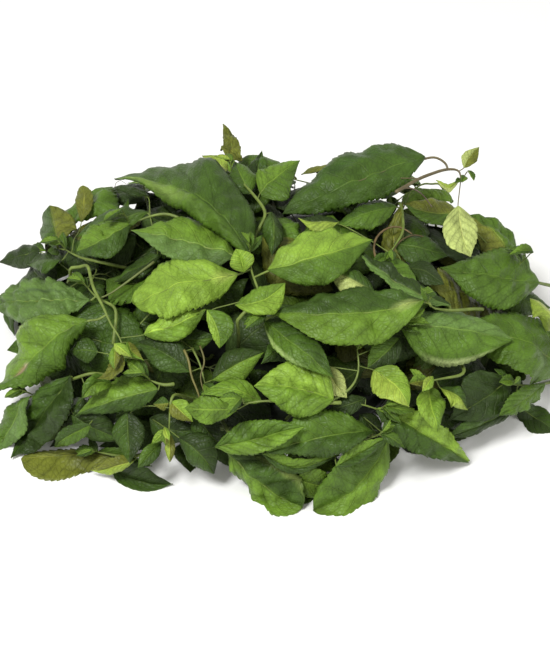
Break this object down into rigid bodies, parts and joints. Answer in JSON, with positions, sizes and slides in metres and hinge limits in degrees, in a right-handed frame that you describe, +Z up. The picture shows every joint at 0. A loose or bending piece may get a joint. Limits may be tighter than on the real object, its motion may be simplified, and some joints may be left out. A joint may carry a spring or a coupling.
{
  "type": "scent leaf bunch",
  "caption": "Loose heap of fresh scent leaf (African basil) sprigs lying on a surface, with broad toothed green leaves on thin stems.",
  "frame": {"origin": "centre of the heap's footprint box, on the surface that it lies on", "axes": "+X to the right of the pictured side, +Y to the back, +Z up; the heap is longest along X and lowest along Z"},
  "size_m": [0.3876, 0.2996, 0.1222],
  "materials": {
    "mid_green": "matt fresh leaf, slightly waxy",
    "fresh_green": "matt fresh leaf, slightly waxy",
    "deep_green": "matt fresh leaf, slightly waxy",
    "bright_green": "matt fresh leaf, slightly waxy",
    "dark_green": "matt fresh leaf, slightly waxy",
    "olive_green": "matt fresh leaf, slightly waxy",
    "pale_olive": "matt fresh leaf, slightly waxy"
  },
  "bodies": {
    "root": {"leafy_stem_back_high_1": "mid_green", "leafy_stem_back_high_2": "fresh_green", "leafy_stem_back_high_4": "deep_green", "leafy_stem_back_high_5": "bright_green", "leafy_stem_back_low_1": "dark_green", "leafy_stem_back_low_2": "olive_green", "leafy_stem_back_low_3": "pale_olive", "leafy_stem_back_low_4": "mid_green", "leafy_stem_back_low_5": "fresh_green", "leafy_stem_back_low_6": "deep_green", "leafy_stem_base_1": "bright_green", "leafy_stem_base_2": "dark_green", "leafy_stem_base_3": "olive_green", "leafy_stem_base_4": "pale_olive", "leafy_stem_base_5": "mid_green", "leafy_stem_base_6": "fresh_green", "leafy_stem_end_left_1": "deep_green", "leafy_stem_end_left_2": "bright_green", "leafy_stem_end_right_1": "dark_green", "leafy_stem_end_right_2": "olive_green", "leafy_stem_far_left": "pale_olive", "leafy_stem_far_right": "mid_green", "leafy_stem_front_left": "fresh_green", "leafy_stem_front_middle": "deep_green", "leafy_stem_front_right": "bright_green", "leafy_stem_heart": "dark_green", "leafy_stem_hollow_right": "olive_green", "leafy_stem_inner_1": "pale_olive", "leafy_stem_inner_2": "mid_green", "leafy_stem_left": "fresh_green", "leafy_stem_middle": "deep_green", "leafy_stem_middle_left": "bright_green", "leafy_stem_middle_left_low": "dark_green", "leafy_stem_middle_right_low": "olive_green", "leafy_stem_middle_upper": "pale_olive", "leafy_stem_right": "mid_green", "leafy_stem_right_low": "fresh_green", "leafy_stem_right_upper": "deep_green", "leafy_stem_rim_front": "bright_green", "leafy_stem_rim_front_left": "dark_green", "leafy_stem_rim_left": "olive_green", "leafy_stem_rim_right": "pale_olive", "leafy_stem_top": "mid_green", "leafy_stem_top_back": "fresh_green", "leafy_stem_top_right": "deep_green", "leafy_stem_upper_left": "bright_green", "leafy_stem_upper_left_side": "dark_green", "leafy_stem_upper_right": "olive_green"}
  },
  "joints": []
}
